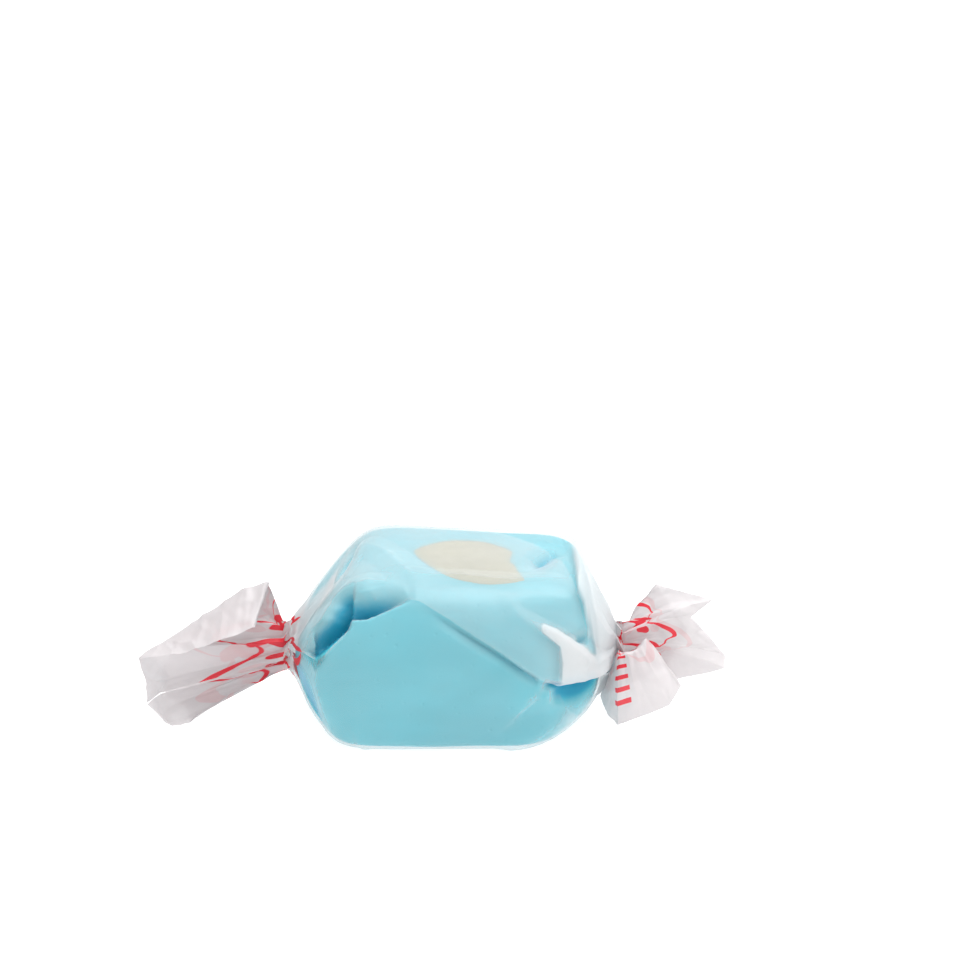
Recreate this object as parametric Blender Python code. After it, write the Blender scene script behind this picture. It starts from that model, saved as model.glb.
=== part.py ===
# A piece of salt water taffy: a pressed blue block with a cream centre, rolled in one sheet of waxed paper
# whose two ends are twisted shut and flare out. X runs along the twist, -Y is the front and Z is up.
# All sizes below are millimetres and degrees. Angles go round the twist axis: 0 is the front, 90 the top.

import bmesh
import bpy
import numpy as np

MM = 0.001

# The pressed block of taffy
BLOCK_CENTRE_HEIGHT = 7.7
FACE_SHARPNESS = 14.0
PRESSED_FACES = (
    # the way the face looks, and its distance from the block's centre
    ((0.00, 0.00, -1.00), 7.6),
    ((0.03, -0.10, 1.00), 7.25),
    ((0.00, -1.00, -0.16), 11.2),
    ((-0.10, -0.80, 0.62), 10.2),
    ((0.24, -0.72, 0.64), 10.6),
    ((0.00, 1.00, 0.05), 10.0),
    ((0.05, 0.74, 0.70), 10.1),
    ((-1.00, 0.00, 0.00), 13.7),
    ((-0.74, 0.05, 0.68), 10.8),
    ((-0.80, -0.30, -0.62), 14.6),
    ((1.00, 0.00, 0.10), 13.6),
    ((0.84, 0.10, 0.56), 14.0),
    ((0.70, -0.20, -0.72), 13.3),
    ((-0.72, -0.70, 0.00), 14.8),
    ((0.74, -0.68, 0.00), 14.2),
    ((-0.70, 0.72, 0.00), 13.4),
    ((0.70, 0.72, 0.00), 14.3),
)
BLOCK_RINGS = 18
BLOCK_SEGMENTS = 36
BLOCK_RING_TILT = 86.0

# The cream centre, which runs from the top face to the underside
CREAM_PLACE = (1.8, -1.0)
CREAM_HEIGHTS = (-4.0, 22.0)
CREAM_OUTLINE = (
    # angle seen from above, counted from +X, and distance from the centre's middle
    (2, 3.9), (29, 4.6), (47, 4.4), (74, 4.3), (110, 4.4), (137, 4.7), (159, 5.1),
    (186, 3.9), (224, 3.4), (274, 4.1), (305, 5.2), (327, 6.1), (342, 4.8),
)

# The flat patch that the piece rests on. Outside it the paper rises by this much for each millimetre
PATCH_X = 8.0
PATCH_Y = (-7.4, 7.0)
PATCH_RISE = 0.15

# The waxed paper
PAPER_THICKNESS = 0.35
LAYER_GAP = 0.3
BLOCK_CLEARANCE = 0.7
OVERLAP_START = 18.0
OVERLAP_MIDDLE = 62.0
OVERLAP_REACH = 9.0
SEAM_SLIT = 12.0
SEAM_CLOSED = 0.86
FOLDS = 16
COLUMNS_PER_FOLD = 4
TOP_FOLD_ANGLE = 100.0

# The fold of the sheet that comes to the top of each flared end
LEFT_TOP_FOLD = 6
RIGHT_TOP_FOLD = 7

# Away from its two free edges the sheet's columns run along the block, spread evenly between these angles
COLUMNS_FROM = 70.0
COLUMNS_TO = -340.0
EDGE_SHARE = 0.28

# Where the free edge of the outer layer runs over the front: place along X, and angle
FREE_EDGE_PLACES = (-13.0, -11.9, -10.5, -8.7, -7.0, -3.5, -1.1, 1.6, 4.8, 8.2, 10.1, 14.6)
FREE_EDGE_ANGLES = (17.0, 14.0, 21.0, 33.0, 36.0, 43.5, 37.0, 28.0, 18.0, 6.0, 0.0, -4.0)
FLAP_LIFT = 1.3
FLAP_PLACE = 10.5
FLAP_REACH = 4.5
FLAP_WIDTH = 34.0

# The tent of paper that stands off the block's upper right corner
TENT_LIFT = 1.5
TENT_PLACE = 13.2
TENT_REACH = 1.6
TENT_ANGLE = 80.0
TENT_WIDTH = 45.0

# The twists: the gathered neck at each end of the block
NECK_HEIGHT = 6.4
NECK_RADIUS = 2.1
NECK_FLATNESS = 0.6
NECK_PLEAT = 0.34
NECK_LEFT = 14.3
NECK_RIGHT = 15.4
NECK_LENGTH = 1.6
SHOULDER_PLEAT = 0.9
SHOULDER_PLEAT_REACH = 5.0
LEFT_STATIONS = (2.6, 5.2, 7.8, 9.8, 11.2, 12.4, 13.4, NECK_LEFT)
RIGHT_STATIONS = (2.6, 5.2, 7.8, 10.0, 11.8, 13.2, 14.4, NECK_RIGHT)
SHOULDER_REACH = 13.7
NECK_ROUNDING = 0.6
NECK_STEPS = 3
FAN_STEPS = 5
FAN_BELLY = 0.5

# The free edge of each flared end: the points where its folds run out, in X, Y and Z,
# from the top over the front and the bottom to the back
LEFT_EDGE = (
    (-16.2, 2.2, 12.4), (-19.6, -0.8, 11.0), (-24.0, -3.0, 8.8), (-28.0, -4.2, 6.4),
    (-24.8, -2.4, 5.0), (-27.0, -5.2, 3.6), (-26.6, -5.8, 2.0), (-24.8, -5.6, 0.8),
    (-21.0, -4.6, 1.0), (-18.8, -1.2, 2.0), (-22.3, -0.6, 2.7), (-25.0, -0.2, 4.3),
    (-25.2, -0.2, 6.2), (-23.0, 1.2, 7.6), (-20.6, 2.6, 9.2), (-18.0, 3.6, 11.0),
)
RIGHT_EDGE = (
    (16.4, 2.2, 9.8), (19.2, 0.6, 12.0), (21.2, -0.6, 10.4), (24.2, -1.0, 11.0),
    (22.2, -1.2, 8.6), (25.4, -1.6, 6.2), (24.8, -2.4, 4.4), (21.0, -2.4, 4.8),
    (21.2, -5.0, 3.8), (19.8, -6.4, 2.6), (17.2, -6.4, 1.0), (15.6, -4.4, 1.0),
    (17.6, -0.8, 1.8), (20.4, 1.4, 3.4), (22.4, 1.8, 6.4), (20.0, 3.2, 9.2),
)

# Colours, with red, green and blue from 0 to 1, and finishes
TAFFY_BLUE = (0.19, 0.55, 0.66)
CREAM_WHITE = (0.84, 0.82, 0.70)
PAPER_WHITE = (0.86, 0.86, 0.87)
TAFFY_ROUGHNESS = 0.42
PAPER_ROUGHNESS = 0.5
SHARP_EDGE = 35.0


def pressed(points):
    """How far out each point lies in the block: 1 on its surface, less inside."""
    away = points - np.array((0.0, 0.0, BLOCK_CENTRE_HEIGHT))
    total = 0.0
    for direction, distance in PRESSED_FACES:
        normal = np.array(direction) / np.linalg.norm(direction)
        total = total + np.clip(away @ normal / distance, 0.0, None) ** FACE_SHARPNESS
    return total ** (1.0 / FACE_SHARPNESS)


def round_axis(x, angle, radius, flatness=1.0):
    """The points at these angles and distances from the twist axis, at these places along it."""
    turn = np.radians(angle)
    parts = np.broadcast_arrays(x, -radius * np.cos(turn) * flatness, NECK_HEIGHT + radius * np.sin(turn))
    return np.stack(parts, axis=-1)


def neck_start(x):
    """How far from the middle the neck starts on this side."""
    return np.where(np.asarray(x) < 0, NECK_LEFT, NECK_RIGHT)


def block_radius(x, angle, furthest=18.0, halvings=26):
    """The block's distance from the twist axis, or 0 past its ends."""
    low = np.zeros(np.broadcast(x, angle).shape)
    high = np.full(low.shape, furthest)
    for _ in range(halvings):
        middle = (low + high) / 2
        inside = pressed(round_axis(x, angle, middle)) < 1.0
        low = np.where(inside, middle, low)
        high = np.where(inside, high, middle)
    return low


def taut_radius(x, angle, samples=34):
    """The paper's distance from the axis: on the block, or straight from the block's shoulder to the neck."""
    side = np.where(x < 0, -1.0, 1.0)
    reach = np.abs(x)
    radius = block_radius(x, angle) + LAYER_GAP
    for place in np.linspace(0.0, SHOULDER_REACH, samples):
        shoulder = block_radius(side * place, angle) + LAYER_GAP
        slope = (neck_start(x) - reach) / (neck_start(x) - place)
        straight = NECK_RADIUS + (shoulder - NECK_RADIUS) * slope
        radius = np.where(reach >= place, np.maximum(radius, straight), radius)
    return radius


def smooth(value, start, end):
    """A smooth step from 0 at start to 1 at end."""
    share = np.clip((value - start) / (end - start), 0.0, 1.0)
    return share * share * (3.0 - 2.0 * share)


def column_folds():
    """Each column's place across the sheet, counted in folds."""
    return np.linspace(0.0, FOLDS, FOLDS * COLUMNS_PER_FOLD + 1)


def ridge(folds):
    """1 on the folds that stand out, -1 on those that lie in, straight between them."""
    return 2.0 * np.abs(folds % 2.0 - 1.0) - 1.0


def free_edge(x):
    """The angle of the outer layer's free edge at this place along the block."""
    return np.interp(x, FREE_EDGE_PLACES, FREE_EDGE_ANGLES)


def overlap_at(x):
    """How far the two layers overlap, as an angle. At the necks they part by a slit instead."""
    narrowing = smooth(abs(x), OVERLAP_REACH, neck_start(x))
    return OVERLAP_MIDDLE - (SEAM_SLIT + OVERLAP_MIDDLE) * narrowing


def column_angles(x, folds):
    """Each column's angle at this place. Columns near a free edge of the sheet follow that edge."""
    share = folds / FOLDS
    first = free_edge(x) + overlap_at(x)
    last = free_edge(x) - 360.0
    straight = COLUMNS_FROM + (COLUMNS_TO - COLUMNS_FROM) * share
    straight += (first - COLUMNS_FROM) * (1.0 - smooth(share, 0.0, EDGE_SHARE))
    straight += (last - COLUMNS_TO) * smooth(share, 1.0 - EDGE_SHARE, 1.0)
    even = first + (last - first) * share
    return straight + (even - straight) * smooth(abs(x), OVERLAP_REACH, neck_start(x))


def body_rows(folds):
    """The rows of the sheet round the block, from the left neck to the right one."""
    stations = [-x for x in reversed(LEFT_STATIONS)] + [0.0] + list(RIGHT_STATIONS)
    rows = []
    for x in stations:
        reach = abs(x)
        near_neck = smooth(reach, neck_start(x) - SHOULDER_PLEAT_REACH, neck_start(x))
        free = free_edge(x)
        overlap = overlap_at(x)
        angle = column_angles(x, folds)
        past = smooth(angle, free - 360.0 + overlap + OVERLAP_START, free - 360.0 + overlap)
        layer = (PAPER_THICKNESS + LAYER_GAP) * past * (1.0 - near_neck)
        flap = smooth(angle, free - 360.0 + FLAP_WIDTH, free - 360.0)
        flap = FLAP_LIFT * flap * np.exp(-((x - FLAP_PLACE) / FLAP_REACH) ** 2)
        tent = smooth(np.abs((angle + 180.0 - TENT_ANGLE) % 360.0 - 180.0), TENT_WIDTH, 0.0)
        tent = TENT_LIFT * tent * np.exp(-((x - TENT_PLACE) / TENT_REACH) ** 2)
        radius = taut_radius(x, angle) + layer + flap + tent
        settled = (radius - NECK_RADIUS) / (radius + NECK_RADIUS)
        pleat = ridge(folds) * near_neck * (NECK_PLEAT + SHOULDER_PLEAT * settled)
        flatness = 1.0 + (NECK_FLATNESS - 1.0) * smooth(reach, neck_start(x) - NECK_ROUNDING, neck_start(x))
        rows.append(round_axis(x, angle, radius + pleat, flatness))
    return rows


def fold_points(edge, top_fold):
    """The edge's points in the order of the sheet's folds, turned by the twist, and short of closing."""
    turned = [np.array(edge[(i + top_fold) % FOLDS]) for i in range(FOLDS)]
    last = turned[-1] + (turned[0] - turned[-1]) * SEAM_CLOSED
    return np.array(turned + [last])


def neck_and_fan_rows(folds, edge, side, top_fold):
    """The rows past one neck, from the neck outward. side is 1 at the left end and -1 at the right."""
    span = 360.0 - SEAM_SLIT
    first = TOP_FOLD_ANGLE - 360.0 / FOLDS * top_fold
    rows = []
    for step in range(1, NECK_STEPS + 1):
        share = step / NECK_STEPS
        x = -side * (neck_start(-side) + NECK_LENGTH * share)
        start = free_edge(x) - SEAM_SLIT
        angle = start + (first - start) * share - span * folds / FOLDS
        rows.append(round_axis(x, angle, NECK_RADIUS + NECK_PLEAT * ridge(folds), NECK_FLATNESS))
    ends = fold_points(edge, top_fold)
    free = np.stack([np.interp(folds, np.arange(FOLDS + 1), ends[:, k]) for k in range(3)], axis=-1)
    neck = rows[-1]
    for step in range(1, FAN_STEPS + 1):
        share = step / FAN_STEPS
        row = neck + (free - neck) * share
        row[:, 2] += FAN_BELLY * 4 * share * (1 - share) * (1 - np.abs(ridge(folds)))
        rows.append(row)
    return rows


def material(name, colour, roughness):
    """A plain finish in the sub-part's own colour."""
    made = bpy.data.materials.new(name)
    made.use_nodes = True
    shader = made.node_tree.nodes["Principled BSDF"]
    shader.inputs["Base Color"].default_value = (*colour, 1.0)
    shader.inputs["Roughness"].default_value = roughness
    shader.inputs["Metallic"].default_value = 0.0
    return made


def add_object(name, mesh, finish):
    """Puts a named object with its material in the scene."""
    mesh.shade_smooth()
    mesh.set_sharp_from_angle(angle=np.radians(SHARP_EDGE))
    mesh.materials.append(finish)
    made = bpy.data.objects.new(name, mesh)
    bpy.context.scene.collection.objects.link(made)
    return made


def grid_mesh(name, rows, closed=False):
    """A triangulated sheet through the rows of points, which are in millimetres."""
    sheet = bmesh.new()
    corners = [[sheet.verts.new([c * MM for c in p]) for p in row] for row in rows]
    count = len(corners[0])
    for low, high in zip(corners, corners[1:]):
        for i in range(count if closed else count - 1):
            j = (i + 1) % count
            sheet.faces.new((low[i], low[j], high[j]))
            sheet.faces.new((low[i], high[j], high[i]))
    if closed:
        sheet.faces.new(reversed(corners[0]))
        sheet.faces.new(corners[-1])
        bmesh.ops.triangulate(sheet, faces=[f for f in sheet.faces if len(f.verts) > 3])
        bmesh.ops.recalc_face_normals(sheet, faces=sheet.faces)
    mesh = bpy.data.meshes.new(name)
    sheet.to_mesh(mesh)
    sheet.free()
    return mesh


def block_rows():
    """Rings round the block from its underside to its top, just inside the paper."""
    rows = []
    turns = np.linspace(0.0, 360.0, BLOCK_SEGMENTS, endpoint=False)
    for tilt in np.linspace(-BLOCK_RING_TILT, BLOCK_RING_TILT, BLOCK_RINGS):
        flat = np.cos(np.radians(tilt))
        ways = np.stack(
            [
                flat * np.cos(np.radians(turns)),
                flat * np.sin(np.radians(turns)),
                np.full(turns.shape, np.sin(np.radians(tilt))),
            ],
            axis=-1,
        )
        centre = np.array((0.0, 0.0, BLOCK_CENTRE_HEIGHT))
        reach = 1.0 / pressed(centre + ways)
        ring = centre + ways * (reach[:, None] - BLOCK_CLEARANCE)
        ring[:, 2] = np.maximum(ring[:, 2], PAPER_THICKNESS + LAYER_GAP + BLOCK_CLEARANCE)
        rows.append(ring)
    return rows


def cream_prism(grow):
    """The cream centre's outline carried straight through the block, grown by this much."""
    turns, reaches = (np.array(v, float) for v in zip(*CREAM_OUTLINE))
    x = CREAM_PLACE[0] + (reaches + grow) * np.cos(np.radians(turns))
    y = CREAM_PLACE[1] + (reaches + grow) * np.sin(np.radians(turns))
    return [np.stack([x, y, np.full(x.shape, z)], axis=-1) for z in CREAM_HEIGHTS]


def cutter(name, mesh):
    """A hidden guide for a Boolean."""
    made = bpy.data.objects.new(name, mesh)
    made.hide_render = True
    made.display_type = "WIRE"
    bpy.context.scene.collection.objects.link(made)
    return made


def shape_with(target, other, operation):
    """Cuts or meets the target with the other solid."""
    boolean = target.modifiers.new(other.name, "BOOLEAN")
    boolean.operation = operation
    boolean.solver = "EXACT"
    boolean.object = other


def make_block():
    """The blue taffy, with the channel that the cream centre fills."""
    finish = material("blue_taffy", TAFFY_BLUE, TAFFY_ROUGHNESS)
    block = add_object("taffy_block", grid_mesh("taffy_block", block_rows(), closed=True), finish)
    channel = cutter("cream_channel", grid_mesh("cream_channel", cream_prism(LAYER_GAP), closed=True))
    shape_with(block, channel, "DIFFERENCE")


def make_cream():
    """The cream centre, level with the block at its top and underside."""
    finish = material("cream_taffy", CREAM_WHITE, TAFFY_ROUGHNESS)
    cream = add_object("cream_centre", grid_mesh("cream_centre", cream_prism(0.0), closed=True), finish)
    outline = cutter("block_outline", grid_mesh("block_outline", block_rows(), closed=True))
    shape_with(cream, outline, "INTERSECT")


def lowest(x, y):
    """How low the sheet may lie at this place: level in the patch that the piece rests on, rising round it."""
    outside = np.maximum.reduce([np.abs(x) - PATCH_X, PATCH_Y[0] - y, y - PATCH_Y[1], np.zeros(x.shape)])
    return PAPER_THICKNESS + PATCH_RISE * outside


def make_wrapper():
    """The sheet of waxed paper, from the left free edge to the right one."""
    folds = column_folds()
    left = neck_and_fan_rows(folds, LEFT_EDGE, 1, LEFT_TOP_FOLD)
    right = neck_and_fan_rows(folds, RIGHT_EDGE, -1, RIGHT_TOP_FOLD)
    rows = list(reversed(left)) + body_rows(folds) + right
    for row in rows:
        row[:, 2] = np.maximum(row[:, 2], lowest(row[:, 0], row[:, 1]))
    finish = material("waxed_paper", PAPER_WHITE, PAPER_ROUGHNESS)
    wrapper = add_object("wrapper", grid_mesh("wrapper", rows), finish)
    sheet = wrapper.modifiers.new("paper", "SOLIDIFY")
    sheet.thickness = PAPER_THICKNESS * MM
    sheet.offset = 1.0
    sheet.use_rim = True


def main():
    for old in list(bpy.data.objects):
        bpy.data.objects.remove(old)
    make_block()
    make_cream()
    make_wrapper()


main()
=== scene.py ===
import math

import bpy
import numpy as np
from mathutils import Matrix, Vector, noise


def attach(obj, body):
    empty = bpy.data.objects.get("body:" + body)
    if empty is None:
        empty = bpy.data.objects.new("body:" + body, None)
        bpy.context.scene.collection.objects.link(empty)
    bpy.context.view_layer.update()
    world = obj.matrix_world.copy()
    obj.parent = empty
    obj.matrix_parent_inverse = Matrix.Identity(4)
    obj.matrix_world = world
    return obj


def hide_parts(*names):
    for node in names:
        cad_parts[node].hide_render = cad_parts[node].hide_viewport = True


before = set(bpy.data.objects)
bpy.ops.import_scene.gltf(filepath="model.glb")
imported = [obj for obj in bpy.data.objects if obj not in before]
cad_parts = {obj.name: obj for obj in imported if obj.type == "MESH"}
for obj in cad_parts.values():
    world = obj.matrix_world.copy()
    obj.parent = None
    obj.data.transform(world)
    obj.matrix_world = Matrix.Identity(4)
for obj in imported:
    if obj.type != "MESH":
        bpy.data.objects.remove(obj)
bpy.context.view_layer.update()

mm = 0.001  # everything below is in millimetres and degrees until it becomes a mesh
print("frame loaded:", sorted(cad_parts))


# The pressed block of taffy. Angles go round the twist axis: 0 is the front, 90 the top

block = {
    "middleHeight": 7.7,
    "sharpness": 14.0,
    "faces": (  # the way a face looks, and how far it lies from the block's middle
        ((0.00, 0.00, -1.00), 7.6),
        ((0.03, -0.10, 1.00), 7.25),
        ((0.00, -1.00, -0.16), 11.2),
        ((-0.10, -0.80, 0.62), 10.2),
        ((0.24, -0.72, 0.64), 10.6),
        ((0.00, 1.00, 0.05), 10.0),
        ((0.05, 0.74, 0.70), 10.1),
        ((-1.00, 0.00, 0.00), 14.0),
        ((-0.74, 0.05, 0.68), 10.8),
        ((-0.83, -0.19, -0.52), 14.1),
        ((1.00, 0.00, 0.10), 13.6),
        ((0.84, 0.10, 0.56), 14.0),
        ((0.70, -0.20, -0.72), 13.6),
        ((-0.72, -0.70, 0.00), 15.6),
        ((0.74, -0.68, 0.00), 14.2),
        ((-0.70, 0.72, 0.00), 13.4),
        ((0.70, 0.72, 0.00), 14.3),
    ),
    "underside": 0.1,
    "fill": 0.26,  # how far the taffy swells into the gap that the solids keep
    "rings": 220,
    "segments": 420,
    "steepest": 89.0,  # tilt of the last ring at the top and the underside
    "lumps": 0.10,
    "lumpSize": 4.5,
    "lumpsTop": 0.9,  # taken off the noise, so the lumps go inward
    "core": 0.5,  # no dent comes closer to the twist axis
    "sharpFrom": 50.0,
}


def blockMiddle():
    return np.array((0.0, 0.0, block["middleHeight"]))


def pressed(points):  # 1 on the block's surface, less inside
    away = points - blockMiddle()
    total = 0.0
    for way, distance in block["faces"]:
        normal = np.array(way) / np.linalg.norm(way)
        total = total + np.clip(away @ normal / distance, 0.0, None) ** block["sharpness"]
    return total ** (1.0 / block["sharpness"])


def smoothStep(value, start, end):
    share = np.clip((value - start) / (end - start), 0.0, 1.0)
    return share * share * (3.0 - 2.0 * share)


def lumpy(points, size, seed):  # soft noise at every point, about -1 to 1
    shift = Vector((seed * 7.3, seed * 3.1, seed * 5.7))
    return np.array([noise.noise(Vector(p) / size + shift) for p in points])


def gridMesh(name, rows, closed=False, uv=None):  # a sheet or closed skin of quads through the rows
    rows = np.asarray(rows)
    high, wide = rows.shape[:2]
    last = wide if closed else wide - 1
    faces = []
    for r in range(high - 1):
        for c in range(last):
            d = (c + 1) % wide
            faces.append((r * wide + c, r * wide + d, (r + 1) * wide + d, (r + 1) * wide + c))
    if closed:
        faces.append(tuple(reversed(range(wide))))
        faces.append(tuple((high - 1) * wide + c for c in range(wide)))
    mesh = bpy.data.meshes.new(name)
    mesh.from_pydata((rows.reshape(-1, 3) * mm).tolist(), [], faces)
    mesh.update()
    mesh.shade_smooth()
    if uv is not None:
        layer = mesh.uv_layers.new(name="paperPlace")
        corner = np.empty(len(mesh.loops), dtype=np.int32)
        mesh.loops.foreach_get("vertex_index", corner)
        layer.data.foreach_set("uv", uv.reshape(-1, 2)[corner].astype(np.float32).ravel())
    piece = bpy.data.objects.new(name, mesh)
    bpy.context.scene.collection.objects.link(piece)
    return piece


def blockSkin():  # rings from the underside to the top
    turns = np.linspace(0.0, 2.0 * math.pi, block["segments"], endpoint=False)
    middle = blockMiddle()
    rows = []
    for tilt in np.linspace(-block["steepest"], block["steepest"], block["rings"]):
        flat = math.cos(math.radians(tilt))
        height = np.full(turns.shape, math.sin(math.radians(tilt)))
        ways = np.stack([flat * np.cos(turns), flat * np.sin(turns), height], axis=-1)
        reach = 1.0 / pressed(middle + ways) + block["fill"]
        rows.append(middle + ways * reach[:, None])
    rows = np.array(rows)
    flatRows = rows.reshape(-1, 3)
    push = block["lumps"] * (lumpy(flatRows, block["lumpSize"], 3) - block["lumpsTop"])
    ways = flatRows - middle
    flatRows += ways / np.linalg.norm(ways, axis=1)[:, None] * push[:, None]
    fromAxis = flatRows[:, 1:] - np.array((0.0, paper["neckHeight"]))
    far = np.linalg.norm(fromAxis, axis=1)
    angle = np.degrees(np.arctan2(fromAxis[:, 1], -fromAxis[:, 0]))
    depth = dentDepth(flatRows[:, 0], angle) + slumpDepth(flatRows[:, 0], angle)
    depth = np.minimum(depth, far - block["core"])
    flatRows[:, 1:] -= fromAxis * (depth / np.maximum(far, 0.01))[:, None]
    flatRows[:, 2] = np.maximum(flatRows[:, 2], block["underside"])
    return rows


# The cream centre. Its outline is seen from above, and it runs straight through the block

cream = {
    "place": (1.8, -1.0),
    "outline": (  # angle counted from +X, and distance from the middle
        (2, 3.9), (14, 4.1), (29, 4.7), (47, 4.4), (74, 4.3), (92, 4.2), (110, 4.4), (137, 4.7), (159, 5.2),
        (172, 4.5), (186, 3.9), (205, 3.5), (224, 3.4), (250, 3.7), (274, 4.1), (305, 5.2), (320, 5.9),
        (328, 6.2), (336, 5.3), (342, 4.8), (350, 4.5),
    ),
    "proud": 0.02,
    "steps": 180,
    "from": -4.0,
    "to": 22.0,
}


def creamReach(turn):  # how far the cream goes in this direction
    angles = np.array([p[0] for p in cream["outline"]], float)
    reaches = np.array([p[1] for p in cream["outline"]], float)
    angles = np.concatenate([angles - 360.0, angles, angles + 360.0])
    reaches = np.tile(reaches, 3)
    return np.interp(turn % 360.0, angles, reaches)


# The waxed paper, one sheet rolled round the block

paper = {
    "neckHeight": 6.4,
    "neckRadius": 2.0,
    "neckFlatness": 0.62,
    "neckLeft": 14.3,
    "neckRight": 15.4,
    "neckLength": 0.7,
    "neckPleat": 0.42,
    "shoulderPleat": 0.75,
    "shoulderReach": 4.2,
    "folds": 16,
    "leftShift": 6,  # the fold of the sheet that comes to the top of the flared end
    "rightShift": 7,
    "topFold": 100.0,
    "slit": 12.0,
    "seamClosed": 0.97,
    "overlap": 100.0,
    "overlapReach": 9.0,
    "edgeShare": 0.28,
    "from": 108.0,
    "to": -340.0,
    "layer": 0.12,  # the outer layer lies this far over the inner one
    "onTaffy": 0.13,
    "lowest": 0.02,
    "columns": 326,
    "finerFrom": (0.0, 0.14, 0.40, 0.70, 1.0),  # the sheet has closer columns on the front and the top
    "finerTo": (0.0, 0.10, 0.44, 0.62, 1.0),
    "bodyRows": 190,
    "neckRows": 12,
    "fanRows": 41,
    "printWidth": 34.0,
    "edgePlaces": (  # the free edge over the front, as places along X and angles
        -13.0, -11.9, -10.5, -9.0, -8.6, -7.2, -5.8, -4.5, -3.5, -2.4,
        -1.1, 1.6, 4.8, 8.2, 9.9, 10.8, 11.8, 13.0, 14.6,
    ),
    "edgeAngles": (
        17.0, 14.0, 21.0, 29.0, 35.0, 35.0, 38.0, 41.0, 43.5, 42.0,
        37.0, 28.0, 18.0, 6.0, 1.0, 1.2, 0.5, -2.0, -9.0,
    ),
}


def roundAxis(x, angle, radius, flatness=1.0):
    turn = np.radians(angle)
    height = paper["neckHeight"] + radius * np.sin(turn)
    return np.stack(np.broadcast_arrays(x, -radius * np.cos(turn) * flatness, height), axis=-1)


search = {  # how the block's skin is looked for round the twist axis
    "farthest": 18.0,
    "halvings": 20,
    "places": 150,
    "least": 0.3,
    "propsTo": 13.7,  # further out the block no longer props the paper up
}


def blockRadius(x, angle):  # how far the block's skin is from the twist axis, or 0 past its ends
    low = np.zeros(np.broadcast(x, angle).shape)
    high = np.full(low.shape, search["farthest"])
    for _ in range(search["halvings"]):
        middle = (low + high) / 2
        points = roundAxis(x, angle, middle)
        away = np.linalg.norm(points - blockMiddle(), axis=-1)
        inside = away < away / np.maximum(pressed(points), 1e-6) + block["fill"]
        low = np.where(inside, middle, low)
        high = np.where(inside, high, middle)
    return low


def neckStart(x):  # how far from the middle the neck starts on this side
    return paper["neckLeft"] if x < 0 else paper["neckRight"]


def tables():  # the block's radius, and the taut paper's, over places along the axis and angles round it
    places = np.linspace(-paper["neckLeft"], paper["neckRight"], search["places"])
    angles = np.linspace(0.0, 360.0, 361)  # a column for every degree
    bare = blockRadius(places[:, None], angles[None, :])
    taut = np.maximum(bare, search["least"])
    neck = paper["neckRadius"]
    for i, x in enumerate(places):
        for k, place in enumerate(places):
            if place * x < 0 or abs(place) >= abs(x) or abs(place) > search["propsTo"]:
                continue
            slope = (neckStart(x) - abs(x)) / (neckStart(x) - abs(place))
            taut[i] = np.maximum(taut[i], neck + (bare[k] - neck) * slope)
    return places, bare, taut


def lookUp(table, places, x, angle):  # reads a table between its rows and columns
    row = np.clip((x - places[0]) / (places[1] - places[0]), 0, len(places) - 1.001)
    col = angle % 360.0
    i = row.astype(int)
    j = np.minimum(col.astype(int), 359)
    a = row - i
    b = col - j
    return (
        table[i, j] * (1 - a) * (1 - b)
        + table[i + 1, j] * a * (1 - b)
        + table[i, j + 1] * (1 - a) * b
        + table[i + 1, j + 1] * a * b
    )


def freeEdge(x):
    return np.interp(x, paper["edgePlaces"], paper["edgeAngles"])


def overlapAt(x):
    narrowing = smoothStep(abs(x), paper["overlapReach"], neckStart(x))
    return paper["overlap"] - (paper["slit"] + paper["overlap"]) * narrowing


def columnAngles(x, share):  # the sheet angle of every column, following the free edges near them
    first = freeEdge(x) + overlapAt(x)
    last = freeEdge(x) - 360.0
    straight = paper["from"] + (paper["to"] - paper["from"]) * share
    straight = straight + (first - paper["from"]) * (1.0 - smoothStep(share, 0.0, paper["edgeShare"]))
    straight = straight + (last - paper["to"]) * smoothStep(share, 1.0 - paper["edgeShare"], 1.0)
    even = first + (last - first) * share
    return straight + (even - straight) * smoothStep(abs(x), paper["overlapReach"], neckStart(x))


# Folds of the paper on the block: a line of (place along X, angle, height), with the width of the slope below
# it and above it, as seen where the line runs to the right. Each lies on the outer or the inner layer

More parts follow.
